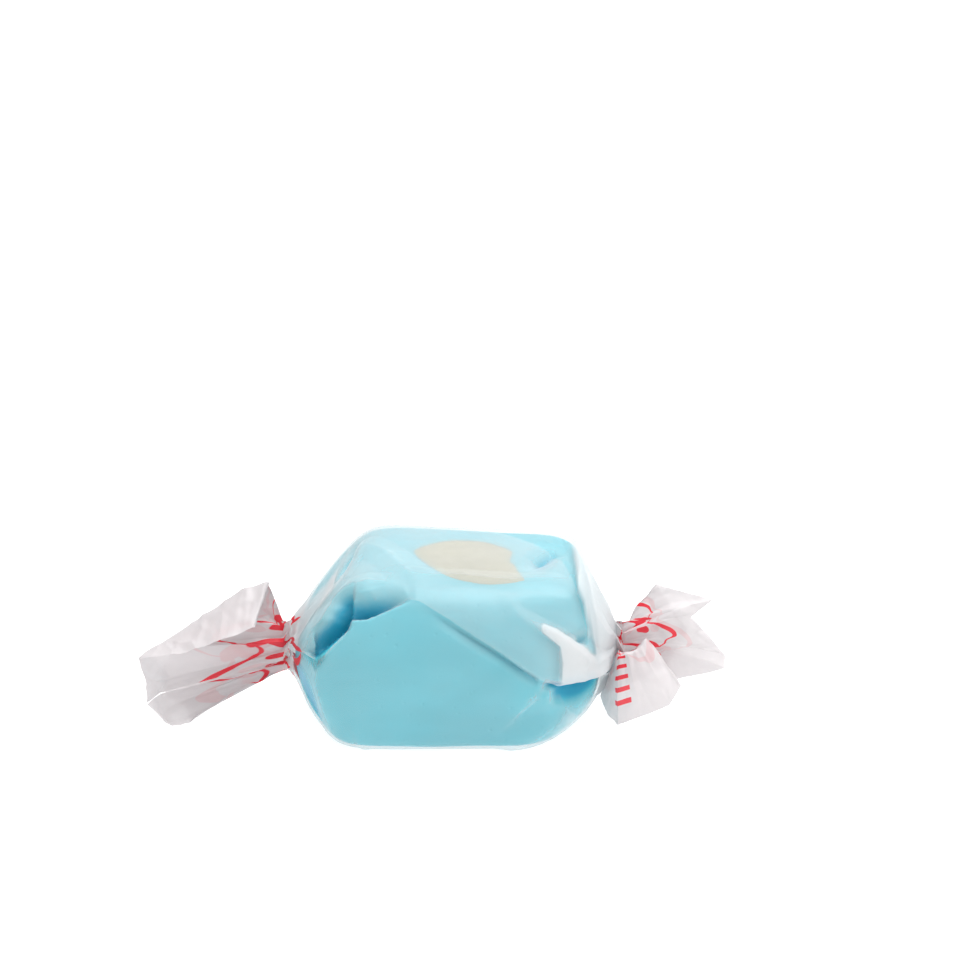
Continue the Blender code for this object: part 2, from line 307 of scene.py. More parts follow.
paperFolds = (
    # left shoulder, where the paper leaves the taffy
    {"line": ((-7.6, 112, 0.0), (-8.4, 84, 0.35), (-9.4, 64, 0.5), (-11.6, 47, 0.6), (-13.0, 27, 0.4)),
     "below": 1.6, "above": 0.7, "layer": "outer"},
    # the rolled rim above the left pocket
    {"line": ((-11.0, 50, 0.0), (-9.4, 52, 0.2), (-8.2, 53, 0.35), (-7.2, 55, 0.4), (-5.8, 54, 0.25),
              (-4.0, 52, 0.0)),
     "below": 0.7, "above": 1.6, "layer": "outer"},
    {"line": ((-7.25, 51, 0.3), (-6.5, 44, 0.5)), "below": 0.8, "above": 1.0, "layer": "outer"},
    # bright bead along the front panel's upper edge at the left
    {"line": ((-12.6, 15, 0.0), (-11.8, 11, 0.35), (-10.5, 18, 0.35), (-9.0, 26, 0.4), (-8.6, 33, 0.45),
              (-7.2, 33, 0.3), (-5.8, 36, 0.2), (-4.5, 39, 0.15), (-3.5, 41, 0.0)),
     "below": 1.1, "above": 0.25, "layer": "inner"},
    # ridge over the flap at the right, and the curve above it
    {"line": ((5.6, 44, 0.1), (6.4, 36, 0.3), (8.6, 30, 0.35), (9.9, 27, 0.3)),
     "below": 1.1, "above": 0.8, "layer": "outer"},
    {"line": ((5.6, 44, 0.1), (7.6, 46, 0.3), (9.6, 47, 0.35), (11.3, 47, 0.4), (11.9, 53, 0.5),
              (12.0, 70, 0.55), (11.8, 99, 0.3), (11.2, 112, 0.0)),
     "below": 1.0, "above": 1.3, "layer": "outer"},
    # loose places on the top
    {"line": ((-7.4, 100, 0.3), (-5.2, 82, 0.6), (-3.6, 64, 0.5), (-3.0, 56, 0.2)),
     "below": 2.2, "above": 2.2, "layer": "outer"},
    {"line": ((-2.6, 60, 0.2), (1.5, 60, 0.6), (6.0, 57, 0.55), (9.6, 60, 0.3)),
     "below": 1.4, "above": 1.6, "layer": "outer"},
    # tent at the upper right corner
    {"line": ((10.2, 160, 0.0), (11.3, 124, 0.6), (12.1, 96, 1.1), (12.5, 70, 1.1), (12.7, 48, 0.9),
              (12.9, 30, 0.7), (12.8, 17, 0.5)),
     "below": 1.0, "above": 2.6, "layer": "outer"},
    # lower right: rim of the lower panel, and the soft fold that runs down from the flap's corner
    {"line": ((8.0, -3, 0.15), (9.1, -4, 0.5), (10.2, -7, 0.6), (11.6, -21, 0.45), (12.9, -38, 0.1)),
     "below": 1.8, "above": 0.3, "layer": "inner"},
    {"line": ((8.6, 4, 0.4), (8.0, -2, 0.55), (6.4, -10, 0.42), (5.0, -19, 0.2), (4.4, -26, 0.0)),
     "below": 1.6, "above": 0.6, "layer": "inner"},
    {"line": ((4.4, -38, 0.0), (6.6, -28, 0.5), (9.2, -22, 0.6), (11.0, -25, 0.5)),
     "below": 1.7, "above": 1.8, "layer": "inner"},
    # front panel: fold near the lower left corner, and crease along its left end
    {"line": ((-8.8, -14, 0.0), (-8.3, -21, 0.22), (-7.5, -30, 0.3)),
     "below": 0.7, "above": 0.9, "layer": "inner"},
    {"line": ((-12.0, 11, 0.25), (-11.6, -5, 0.25), (-11.2, -20, 0.25), (-10.9, -34, 0.1)),
     "below": 0.4, "above": 1.8, "layer": "inner"},
)

# Dents, pressed into the taffy and both layers. Each also paints shade into the colour by its depth; where
# one says how much it darkens, that painted shade is that much deeper than the dent
dents = (
    # the two pockets under the free edge at the left
    {"line": ((-12.8, 18, 0.3), (-11.8, 14.5, 1.0), (-10.5, 21.5, 2.0), (-9.0, 29.5, 2.2), (-8.6, 36, 2.0),
              (-8.5, 42, 1.4)),
     "below": 0.2, "above": 2.3},
    {"line": ((-8.8, 35, 1.7), (-7.2, 35.5, 1.5), (-5.8, 38.5, 1.1), (-4.5, 41.5, 0.7), (-3.4, 44, 0.15),
              (-2.8, 44, 0.0)),
     "below": 0.25, "above": 2.4},
    # left shoulder, valley on the top at the right, and the groove under the free edge
    {"line": ((-8.3, 112, 0.3), (-9.0, 90, 1.1), (-9.7, 74, 0.6)), "below": 0.8, "above": 0.35},
    {"line": ((9.9, 110, 0.1), (9.4, 96, 0.75), (8.5, 84, 0.8), (7.5, 68, 0.1)), "below": 1.7, "above": 1.5},
    {"line": ((-1.4, 36, 0.0), (1.6, 26.5, 0.4), (4.8, 16.5, 0.5), (8.0, 5, 0.55)),
     "below": 0.8, "above": 0.2},
    # hollow at the lower left end, with painted shade deeper than the dent itself
    {"line": ((-13.8, 10, 0.3), (-13.3, -3, 0.75), (-12.8, -12, 0.85), (-12.2, -23, 0.8), (-11.6, -34, 0.2)),
     "below": 2.4, "above": 1.5, "shadeGain": 1.9},
    # the gap under the flap, and the small pocket over it
    {"line": ((8.5, 2.5, 0.3), (9.4, -0.5, 1.2), (10.2, -3.5, 1.8), (10.8, -5, 2.0)),
     "below": 0.4, "above": 0.8},
    {"line": ((10.6, -4.5, 1.9), (11.4, -7, 2.5), (12.4, -11, 2.4), (13.4, -15, 1.6)),
     "below": 1.5, "above": 1.2},
    {"line": ((11.3, 22, 0.2), (12.0, 24, 0.8), (12.6, 27, 0.5)), "below": 0.9, "above": 1.0},
)

# The left shoulder, where the taffy sinks away under the paper. On the side that "rises" names it stays sunk
slump = {
    "line": ((-8.6, 124, 0.0), (-9.5, 106, 0.5), (-10.0, 86, 1.1), (-10.3, 68, 1.3), (-10.9, 58, 1.3),
             (-12.3, 47, 1.3), (-13.5, 27, 1.0), (-13.8, 12, 0.0)),
    "rises": "below", "below": 0.35, "above": 0.35,
}

# The same under the flap over the right end
flap = {
    "line": ((8.5, 42, 0.4), (8.5, 27, 0.75), (10.2, 20, 1.1), (10.45, 12, 1.2), (10.3, 4, 1.2),
             (9.9, 0, 1.2), (9.8, -9, 1.0)),
    "rises": "above", "below": 0.4, "above": 0.4,
    "overEdge": (0.5, 3.0),  # degrees above the free edge over which it begins
    "pastBand": 4.0,  # degrees above the band over which it ends
}

standOff = {  # how far the outer layer's band along its free edge stands off the block
    "places": (-14.3, -12.8, -11.2, -9.6, -8.2, -6.8, -4.0, 5.0, 7.4, 8.8, 9.7, 10.6, 11.4, 12.6, 13.8, 15.4),
    "heights": (0.1, 0.1, 0.05, 0.05, 0.05, 0.05, 0.1, 0.2, 0.26, 0.34, 0.42, 0.7, 1.0, 1.15, 0.9, 0.3),
    "bandPlaces": (-14.3, 4.8, 6.4, 8.6, 9.9, 11.2, 12.7, 13.6, 15.4),
    "bandAngles": (40.0, 30.0, 36.0, 30.0, 27.0, 22.5, 15.0, 6.0, 6.0),
    "fade": 1.1,
}
mmPerDegree = 0.17  # round the block, so that the widths of folds are in millimetres


def lineHeight(x, angle, line):  # how far the paper or taffy rises by this fold, along its line and beside it
    y = angle * mmPerDegree
    best = np.zeros(np.broadcast(x, y).shape)
    points = [(p[0], p[1] * mmPerDegree, p[2]) for p in line["line"]]
    nearest = np.full(best.shape, np.inf)
    for (ax, ay, ah), (bx, by, bh) in zip(points, points[1:]):
        dx, dy = bx - ax, by - ay
        along = np.clip(((x - ax) * dx + (y - ay) * dy) / (dx * dx + dy * dy), 0.0, 1.0)
        away = np.hypot(x - ax - along * dx, y - ay - along * dy)
        above = (dx * (y - ay) - dy * (x - ax)) > 0
        width = np.where(above, line["above"], line["below"])
        slope = np.clip(1.0 - away / width, 0.0, 1.0)
        if "rises" in line:
            slope = np.where(above == (line["rises"] == "above"), smoothStep(away, 0.0, width), 0.0)
        height = (ah + (bh - ah) * along) * slope
        best = np.where(away < nearest, height, best)
        nearest = np.minimum(nearest, away)
    return best


def dentDepth(x, angle, asPaintedShade=False):  # how far the taffy is pressed in here, or how deep the painted shade in its dent is
    turn = (angle + 180.0) % 360.0 - 180.0
    deepest = np.zeros(np.broadcast(x, turn).shape)
    for dent in dents:
        depth = lineHeight(x, turn, dent) * (dent.get("shadeGain", 1.0) if asPaintedShade else 1.0)
        deepest = np.maximum(deepest, depth)
    return deepest


def slumpDepth(x, angle):  # how far the taffy alone sinks away under the paper
    turn = (angle + 180.0) % 360.0 - 180.0
    band = np.interp(x, standOff["bandPlaces"], standOff["bandAngles"])
    low, high = flap["overEdge"]
    underFlap = smoothStep(turn, freeEdge(x) + low, freeEdge(x) + high)
    underFlap = underFlap * smoothStep(turn, band + flap["pastBand"], band)
    return np.maximum(lineHeight(x, turn, slump), lineHeight(x, turn, flap) * underFlap)


drape = {  # how the sheet lies on the block, with angles in degrees
    "stepOver": 18.0,  # over this the outer layer comes down from the inner one at its end
    "outerTo": 215.0,  # folds of the outer layer lie below this angle
    "innerFrom": -150.0,  # and those of the inner one above this
    "follows": 1.6,  # the outer layer follows the dents, less where it is lifted
    "followsLess": 3.0,
    "liftedFrom": 0.3,
    "pleatsGrow": 1.6,
    "flattens": 0.6,
    "clear": 0.02,
    "hides": 1.5,  # from here above the free edge the inner layer is hidden
    "looseGap": 2.0,  # the gap that counts for the flared ends
    "looseRows": (1, 26),  # rows over which the flared ends become loose
    "endStart": 0.2,  # the flared ends, as millimetres of the flat sheet
    "endLength": 12.0,
    "crumplesFrom": 0.2,
}

smoothPatch = {  # the smooth patch at the left end, below the free edge
    "from": (9.5, 10.5),
    "to": (14.3, 13.9),
    "top": (18.0, 8.0),
    "low": (-130.0, -90.0),
    "pleats": 0.9,  # the share of the pleats and of the gap that it takes away
    "gap": 0.75,
}


def ridge(folds):  # straight pleats, from -1 to 1
    return 2.0 * np.abs(folds % 2.0 - 1.0) - 1.0


def clings(x, angle):  # 1 in the smooth patch, 0 outside
    ends = smoothStep(-x, *smoothPatch["from"]) * smoothStep(-x, *smoothPatch["to"])
    return ends * smoothStep(angle, *smoothPatch["top"]) * smoothStep(angle, *smoothPatch["low"])


def bodyRow(x, share, maps):  # one row of the sheet round the block, its gap to the taffy and its marks
    places, bare, taut = maps
    angle = columnAngles(x, share)
    xs = np.full(angle.shape, x)
    reach = abs(x)
    radius = lookUp(taut, places, xs, angle)
    candy = lookUp(bare, places, xs, angle)
    free = freeEdge(x)
    overlap = overlapAt(x)
    nearNeck = smoothStep(reach, neckStart(x) - paper["shoulderReach"], neckStart(x))
    ending = free - 360.0 + overlap
    past = smoothStep(angle, ending + drape["stepOver"], ending)
    outer = angle + 360.0  # the outer layer's angle, counted like the inner one's
    seen = outer < drape["outerTo"]
    offset = paper["layer"] * past * (1.0 - nearNeck)
    band = np.interp(x, standOff["bandPlaces"], standOff["bandAngles"])
    lifted = np.clip(1.0 - (outer - band) * mmPerDegree / standOff["fade"], 0.0, 1.0)
    height = np.interp(x, standOff["places"], standOff["heights"])
    offset = offset + np.where(seen, height * lifted, 0.0)
    for fold in paperFolds:
        if fold["layer"] == "outer":
            offset = offset + np.where(seen, lineHeight(xs, outer, fold), 0.0)
        else:
            offset = offset + np.where(angle > drape["innerFrom"], lineHeight(xs, angle, fold), 0.0)
    dent = dentDepth(xs, angle)
    follows = drape["follows"] - drape["followsLess"] * np.maximum(offset - drape["liftedFrom"], 0.0)
    offset = offset - dent * np.where(seen, np.clip(follows, 0.0, 1.0), 1.0)
    folds = share * paper["folds"]
    settled = (radius - paper["neckRadius"]) / (radius + paper["neckRadius"])
    sticks = clings(x, angle)
    deepest = paper["neckPleat"] + paper["shoulderPleat"] * settled
    pleats = ridge(folds) * nearNeck ** drape["pleatsGrow"] * deepest
    offset = offset + pleats * (1.0 - smoothPatch["pleats"] * sticks)
    floor = np.where(candy > 0.1, candy - dent, 0.0)
    total = np.maximum(radius + offset, floor + drape["clear"] + paper["layer"] * past)
    flattened = smoothStep(reach, neckStart(x) - drape["flattens"], neckStart(x))
    flatness = 1.0 + (paper["neckFlatness"] - 1.0) * flattened
    points = roundAxis(xs, angle, total + paper["onTaffy"], flatness)
    gap = total - floor + slumpDepth(xs, angle) - paper["layer"] * past
    gap = gap * (1.0 - smoothPatch["gap"] * sticks)
    shown = np.where(angle > free + drape["hides"], 0.0, 1.0)
    # the last is the depth of the painted pocket shade under the sheet
    return points, gap, shown, dentDepth(xs, angle, asPaintedShade=True)


# The flared ends. Each column of the sheet runs from the neck over a bend to the cut edge, where bend says
# how sharply it folds there. The columns go from the top over the front and the bottom to the back

leftFan = (
    ((-16.3, 0.4, 12.5), (-17.5, -4.2, 9.8), 1.0),
    ((-18.8, 0.0, 11.9), (-19.5, -4.8, 9.1), 1.0),
    ((-22.2, -0.8, 9.7), (-22.0, -4.8, 8.1), 1.0),
    ((-25.2, -1.6, 7.7), (-24.5, -4.4, 7.2), 1.0),
    ((-27.0, -2.2, 6.8), (-28.0, -3.4, 6.3), 0.8),
    ((-25.5, -1.4, 3.7), (-27.4, -3.6, 4.1), 0.9),
    ((-26.1, -2.0, 2.5), (-27.3, -4.2, 2.3), 0.9),
    ((-25.2, -3.2, 1.6), (-25.1, -5.0, 0.5), 0.5),
    ((-20.5, -3.4, 2.2), (-23.4, -4.8, 0.7), 0.2),
    ((-20.2, -1.0, 2.4), (-23.8, -1.6, 0.7), 0.2),
    ((-21.1, 0.2, 2.2), (-25.6, 0.2, 1.2), 0.0),
    ((-22.0, 1.0, 3.3), (-26.3, 1.0, 2.3), 0.0),
    ((-22.0, 1.4, 5.1), (-26.1, 1.4, 3.8), 0.0),
    ((-21.5, 1.8, 6.4), (-24.7, 1.6, 6.0), 0.0),
    ((-20.2, 2.0, 8.3), (-22.0, 2.0, 8.1), 0.0),
    ((-18.4, 1.6, 9.9), (-18.8, 1.8, 10.7), 0.0),
)
rightFan = (
    ((17.5, 0.8, 10.3), (19.1, 1.6, 11.8), 0.2),
    ((18.5, -0.2, 9.8), (20.9, 0.4, 11.7), 0.2),
    ((20.1, -1.0, 10.1), (24.3, -0.6, 11.1), 0.2),
    ((19.7, -1.4, 9.3), (22.3, -1.2, 9.6), 0.2),
    ((20.7, -1.6, 8.0), (23.7, -1.6, 8.2), 0.0),
    ((21.2, -2.0, 7.0), (25.4, -2.4, 6.3), 0.0),
    ((20.5, -1.0, 6.1), (25.3, -1.4, 4.6), 0.0),
    ((18.9, -0.8, 5.4), (20.9, -0.6, 3.2), 0.3),
    ((18.2, -3.5, 8.7), (21.4, -4.6, 4.3), 0.9),
    ((17.6, -4.4, 7.8), (20.3, -5.4, 2.6), 0.5),
    ((16.4, -4.8, 7.4), (17.6, -6.0, 1.7), 0.5),
    ((15.5, -4.5, 7.2), (15.5, -5.8, 0.8), 0.5),
    ((15.2, -3.2, 6.0), (14.5, -3.6, 1.1), 0.3),
    ((14.9, -0.8, 5.2), (13.9, -1.4, 2.0), 0.0),
    ((18.0, 1.0, 5.2), (19.8, 1.4, 3.5), 0.0),
    ((18.5, 1.8, 7.4), (22.1, 2.2, 7.0), 0.0),
)


def fanColumns(fan, shift, folds):  # bends, ends and sharpness at every column, in the order of the folds
    count = paper["folds"]
    order = [(i + shift) % count for i in range(count)]
    data = np.array([(*fan[i][0], *fan[i][1], fan[i][2]) for i in order])
    data = np.vstack([data, data[-1] + (data[0] - data[-1]) * paper["seamClosed"]])
    at = np.arange(count + 1)
    return np.stack([np.interp(folds, at, data[:, k]) for k in range(7)], axis=-1)


def endRows(fan, side, share):  # from the neck outward. side is 1 at the left end and -1 at the right
    folds = share * paper["folds"]
    shift = paper["leftShift"] if side == 1 else paper["rightShift"]
    first = paper["topFold"] - 360.0 / paper["folds"] * shift
    span = 360.0 - paper["slit"]
    pleat = paper["neckRadius"] + paper["neckPleat"] * ridge(folds)
    rows = []
    for step in range(1, paper["neckRows"] + 1):
        along = step / paper["neckRows"]
        x = -side * (neckStart(-side) + paper["neckLength"] * along)
        start = freeEdge(x) - paper["slit"]
        angle = start + (first - start) * along - span * share
        rows.append(roundAxis(x, angle, pleat, paper["neckFlatness"]))
    data = fanColumns(fan, shift, folds)
    neck, bend, end, sharp = rows[-1], data[:, 0:3], data[:, 3:6], data[:, 6:7]
    pull = bend * 2.0 - (neck + end) / 2.0
    for step in range(1, paper["fanRows"] + 1):
        t = step / paper["fanRows"]
        curved = neck * (1 - t) ** 2 + pull * 2 * t * (1 - t) + end * t * t
        if t < 0.5:
            folded = neck + (bend - neck) * 2 * t
        else:
            folded = bend + (end - bend) * (2 * t - 1)
        rows.append(curved + (folded - curved) * sharp)
    return rows


crumple = {  # small unevenness, the first two on the block and the others at the flared ends
    "bodySize": 5.5, "bodyHeight": 0.16, "bodyLift": 0.1,
    "slackSize": 1.9, "slackHeight": 0.09,
    "pleats": 22.0, "pleatLength": 0.22, "pleatHeight": 0.16, "endApart": 5.0,
    "fineSize": 2.1, "fineHeight": 0.19,
    "flatFrom": 0.8,
}


def gridNormals(rows):  # outward, away from the taffy
    along = np.gradient(rows, axis=0)
    across = np.gradient(rows, axis=1)
    normals = np.cross(across, along)
    length = np.linalg.norm(normals, axis=2, keepdims=True)
    return normals / np.maximum(length, 1e-9)


def facets(points, size, seed):  # flat facets with straight creases between them
    shift = Vector((seed * 4.1, seed * 9.7, seed * 2.3))
    out = []
    for p in points:
        near = noise.voronoi(Vector(p) / size + shift)[0]
        out.append(min(near[1] - near[0], crumple["flatFrom"]))
    return np.array(out) / crumple["flatFrom"]


def markPoints(piece, name, values):
    mark = piece.data.attributes.new(name, "FLOAT", "POINT")
    mark.data.foreach_set("value", values.ravel().astype(np.float32))


def makePaper():
    maps = tables()
    share = np.interp(np.linspace(0.0, 1.0, paper["columns"]), paper["finerTo"], paper["finerFrom"])
    left = endRows(leftFan, 1, share)
    right = endRows(rightFan, -1, share)
    places = np.linspace(-paper["neckLeft"], paper["neckRight"], paper["bodyRows"])
    body = [bodyRow(x, share, maps) for x in places]
    rows = np.array(list(reversed(left)) + [b[0] for b in body] + right)
    size = rows.shape[:2]
    ends = len(left)
    onBody = slice(ends, ends + len(body))
    gap = np.full(size, drape["looseGap"])
    shown = np.ones(size)
    # the depth of painted pocket shade under the sheet
    dent = np.zeros(size)
    gap[onBody] = np.array([b[1] for b in body])
    shown[onBody] = np.array([b[2] for b in body])
    dent[onBody] = np.array([b[3] for b in body])
    step = np.arange(1, ends + 1)[:, None]
    loose = np.zeros(size)  # 0 on the block, 1 at the flared ends
    loose[:ends] = smoothStep(step[::-1], *drape["looseRows"])
    loose[-ends:] = smoothStep(step, *drape["looseRows"])
    along = np.zeros(size)
    along[onBody] = places[:, None]
    outward = drape["endStart"] + drape["endLength"] * step / ends
    along[:ends] = -paper["neckLeft"] - outward[::-1]
    along[-ends:] = paper["neckRight"] + outward
    across = np.broadcast_to(share[None, :], size)
    normals = gridNormals(rows)
    flat = rows.reshape(-1, 3)
    ribs = [across * crumple["pleats"], along * crumple["pleatLength"], np.sign(along) * crumple["endApart"]]
    ribs = np.stack(ribs, axis=-1).reshape(-1, 3)
    pleats = (facets(ribs, 1.0, 1) - 0.5).reshape(size)
    fine = (facets(flat, crumple["fineSize"], 2) - 0.5).reshape(size)
    wide = lumpy(flat, crumple["bodySize"], 5).reshape(size)
    slack = lumpy(flat, crumple["slackSize"], 8).reshape(size)
    push = loose * (crumple["pleatHeight"] * pleats + crumple["fineHeight"] * fine)
    onBlock = crumple["bodyHeight"] * (wide + crumple["bodyLift"])
    off = np.clip(gap - drape["crumplesFrom"], 0.0, 1.0)
    push = push + (1.0 - loose) * (onBlock + off * crumple["slackHeight"] * slack)
    rows = rows + normals * push[..., None]
    rows[..., 2] = np.maximum(rows[..., 2], paper["lowest"])
    uv = np.stack([across * paper["printWidth"], along], axis=-1)
    piece = gridMesh("waxedWrapper", rows, uv=uv)
    # pocketShade holds the depth of painted shade
    for name, values in (("offTaffy", gap), ("seen", shown), ("pocketShade", dent)):
        markPoints(piece, name, values)
    return piece


# Node helpers

def nodeOf(tree, kind, **values):
    made = tree.nodes.new(kind)
    for key, value in values.items():
        setattr(made, key, value)
    return made


def plug(tree, value, socket):
    if hasattr(value, "is_output"):
        tree.links.new(value, socket)
    else:
        socket.default_value = value


def calc(tree, operation, a, b=0.0, c=0.0):
    made = nodeOf(tree, "ShaderNodeMath", operation=operation)
    for value, socket in zip((a, b, c), made.inputs):
        plug(tree, value, socket)
    return made.outputs[0]


def blendColour(tree, factor, a, b):
    made = nodeOf(tree, "ShaderNodeMix", data_type="RGBA")
    plug(tree, factor, made.inputs[0])
    plug(tree, a, made.inputs[6])
    plug(tree, b, made.inputs[7])
    return made.outputs[2]


def between(tree, value, low, high, toLow=0.0, toHigh=1.0):
    made = nodeOf(tree, "ShaderNodeMapRange", interpolation_type="SMOOTHSTEP")
    for v, socket in zip((value, low, high, toLow, toHigh), made.inputs):
        plug(tree, v, socket)
    return made.outputs[0]


def window(tree, value, low, high, edge):  # 1 between low and high
    rises = between(tree, value, low - edge, low)
    return calc(tree, "MULTIPLY", rises, between(tree, value, high, high + edge, 1.0, 0.0))


def noiseOf(tree, vector, scale, detail=2.0):
    made = nodeOf(tree, "ShaderNodeTexNoise")
    made.inputs["Scale"].default_value = scale
    made.inputs["Detail"].default_value = detail
    tree.links.new(vector, made.inputs["Vector"])
    return made


def bumpOf(tree, height, strength, depth, shader):
    made = nodeOf(tree, "ShaderNodeBump")
    made.inputs["Strength"].default_value = strength
    made.inputs["Distance"].default_value = depth * mm
    tree.links.new(height, made.inputs["Height"])
    tree.links.new(made.outputs[0], shader.inputs["Normal"])


def markOf(tree, name):
    return nodeOf(tree, "ShaderNodeAttribute", attribute_name=name).outputs["Fac"]


def newGroup(name, inputs, outputs):
    group = bpy.data.node_groups.new(name, "ShaderNodeTree")
    for label, kind, value in inputs:
        socket = group.interface.new_socket(label, in_out="INPUT", socket_type=kind)
        if value is not None:
            socket.default_value = value
    for label, kind in outputs:
        group.interface.new_socket(label, in_out="OUTPUT", socket_type=kind)
    return group, group.nodes.new("NodeGroupInput"), group.nodes.new("NodeGroupOutput")


pulled = {  # faint streaks and small soft pits, as pulled taffy has
    "stretch": (0.35, 1.0, 1.0),  # the streaks run along the block
    "detail": 5.0,
    "distortion": 0.8,
    "streakEdge": (0.32, 0.68),
    "pitScale": 900.0,
    "pitEdge": (0.06, 0.22),
}


def pulledTaffy():
    group, inside, outside = newGroup(
        "pulledTaffy",
        (
            ("Place", "NodeSocketVector", None),
            ("Streak Size", "NodeSocketFloat", 300.0),
            ("Pits", "NodeSocketFloat", 0.5),
        ),
        (("Streaks", "NodeSocketFloat"), ("Height", "NodeSocketFloat")),
    )
    stretch = nodeOf(group, "ShaderNodeMapping")
    stretch.inputs["Scale"].default_value = pulled["stretch"]
    group.links.new(inside.outputs["Place"], stretch.inputs["Vector"])
    streak = noiseOf(group, stretch.outputs[0], 1.0, pulled["detail"])
    streak.inputs["Distortion"].default_value = pulled["distortion"]
    group.links.new(inside.outputs["Streak Size"], streak.inputs["Scale"])
    pit = nodeOf(group, "ShaderNodeTexVoronoi", feature="F1")
    pit.inputs["Scale"].default_value = pulled["pitScale"]
    group.links.new(inside.outputs["Place"], pit.inputs["Vector"])
    pits = between(group, pit.outputs["Distance"], *pulled["pitEdge"])
    depth = calc(group, "MULTIPLY", calc(group, "SUBTRACT", pits, 1.0), inside.outputs["Pits"])
    group.links.new(between(group, streak.outputs[0], *pulled["streakEdge"]), outside.inputs["Streaks"])
    group.links.new(calc(group, "ADD", depth, streak.outputs[0]), outside.inputs["Height"])
    return group


ribbon = {  # a generic printed scroll, in millimetres of the flat paper
    "wobbleScale": 0.35,
    "wobble": 1.6,
    "swellFrom": 0.7,
    "wave": {"reach": 1.5, "at": 3.0, "from": 0.0, "stroke": 0.14},
    "crescent": {"reach": 1.1, "at": 6.4, "from": 2.2, "stroke": 0.1},
    "spots": (  # place round the sheet and from the neck, two half sizes, lean
        (-2.4, 5.1, 1.5, 0.5, 0.5),
        (1.3, 4.7, 0.6, 0.6, 0.0),
        (2.9, 1.0, 1.2, 0.45, -0.6),
        (-2.9, 1.2, 0.8, 0.4, 0.8),
    ),
    "spotEdge": 0.5,
    "edge": (-0.03, 0.05),
}


def redRibbon():
    group, inside, outside = newGroup(
        "redRibbon",
        (
            ("Place", "NodeSocketVector", None),
            ("Repeat", "NodeSocketFloat", 9.0),
            ("Stroke", "NodeSocketFloat", 0.34),
        ),
        (("Ink", "NodeSocketFloat"),),
    )
    wobble = noiseOf(group, inside.outputs["Place"], ribbon["wobbleScale"])
    parts = nodeOf(group, "ShaderNodeSeparateXYZ")
    group.links.new(inside.outputs["Place"], parts.inputs[0])
    shift = calc(group, "MULTIPLY", calc(group, "SUBTRACT", wobble.outputs[0], 0.5), ribbon["wobble"])
    u = calc(group, "ADD", parts.outputs[0], shift)
    v = calc(group, "ADD", parts.outputs[1], shift)
    repeat = inside.outputs["Repeat"]
    phase = calc(group, "DIVIDE", u, repeat)
    turn = calc(group, "MULTIPLY", phase, 2.0 * math.pi)
    swell = calc(group, "SINE", calc(group, "MULTIPLY_ADD", turn, 0.5, ribbon["swellFrom"]))
    swell = calc(group, "ABSOLUTE", swell)

    def stroked(line, swelling):  # how far inside this wavy stroke each place lies
        sway = calc(group, "SINE", calc(group, "ADD", turn, line["from"]))
        centre = calc(group, "MULTIPLY_ADD", sway, line["reach"], line["at"])
        width = calc(group, "MULTIPLY_ADD", swelling, inside.outputs["Stroke"], line["stroke"])
        return calc(group, "SUBTRACT", width, calc(group, "ABSOLUTE", calc(group, "SUBTRACT", v, centre)))

    mask = stroked(ribbon["wave"], swell)
    mask = calc(group, "MAXIMUM", mask, stroked(ribbon["crescent"], calc(group, "SUBTRACT", 1.0, swell)))
    local = calc(group, "MULTIPLY", calc(group, "SUBTRACT", calc(group, "FRACT", phase), 0.5), repeat)
    for cx, cy, rx, ry, lean in ribbon["spots"]:
        x = calc(group, "SUBTRACT", local, cx)
        y = calc(group, "SUBTRACT", v, cy)
        a = calc(group, "DIVIDE", calc(group, "MULTIPLY_ADD", y, lean, x), rx)
        b = calc(group, "DIVIDE", calc(group, "MULTIPLY_ADD", x, -lean, y), ry)
        far = calc(group, "SQRT", calc(group, "MULTIPLY_ADD", a, a, calc(group, "MULTIPLY", b, b)))
        spot = calc(group, "MULTIPLY", calc(group, "SUBTRACT", 1.0, far), ribbon["spotEdge"])
        mask = calc(group, "MAXIMUM", mask, spot)
    group.links.new(between(group, mask, *ribbon["edge"]), outside.inputs["Ink"])
    return group


# pocketShade is painted shade: the colour that the taffy turns to in dents and hollows, by their depth
blueTaffy = {
    "colour": (0.06, 0.49, 0.585), "deep": (0.045, 0.44, 0.53), "pocketShade": (0.001, 0.30, 0.46),
    "streak": 260.0,
}
# its pocketShade is likewise the colour of painted shade in dents
creamTaffy = {
    "colour": (0.37, 0.37, 0.245), "deep": (0.325, 0.325, 0.21), "pocketShade": (0.4, 0.38, 0.3),
    "streak": 320.0,
}
taffyFinish = {
    "roughness": 0.42,
    "pits": 0.5,
    "shadeFromDepth": (0.2, 1.1),  # painted shade: over this depth, in millimetres, the colour turns to the pocket shade colour
    "scatter": 0.35,
    "scatterReach": 1.2,
    "bump": 0.25,
    "bumpDepth": 0.15,
}
groups = {"taffy": pulledTaffy(), "ribbon": redRibbon()}


def newMaterial(name):
    made = bpy.data.materials.new(name)
    made.use_nodes = True
    return made, made.node_tree, made.node_tree.nodes["Principled BSDF"]


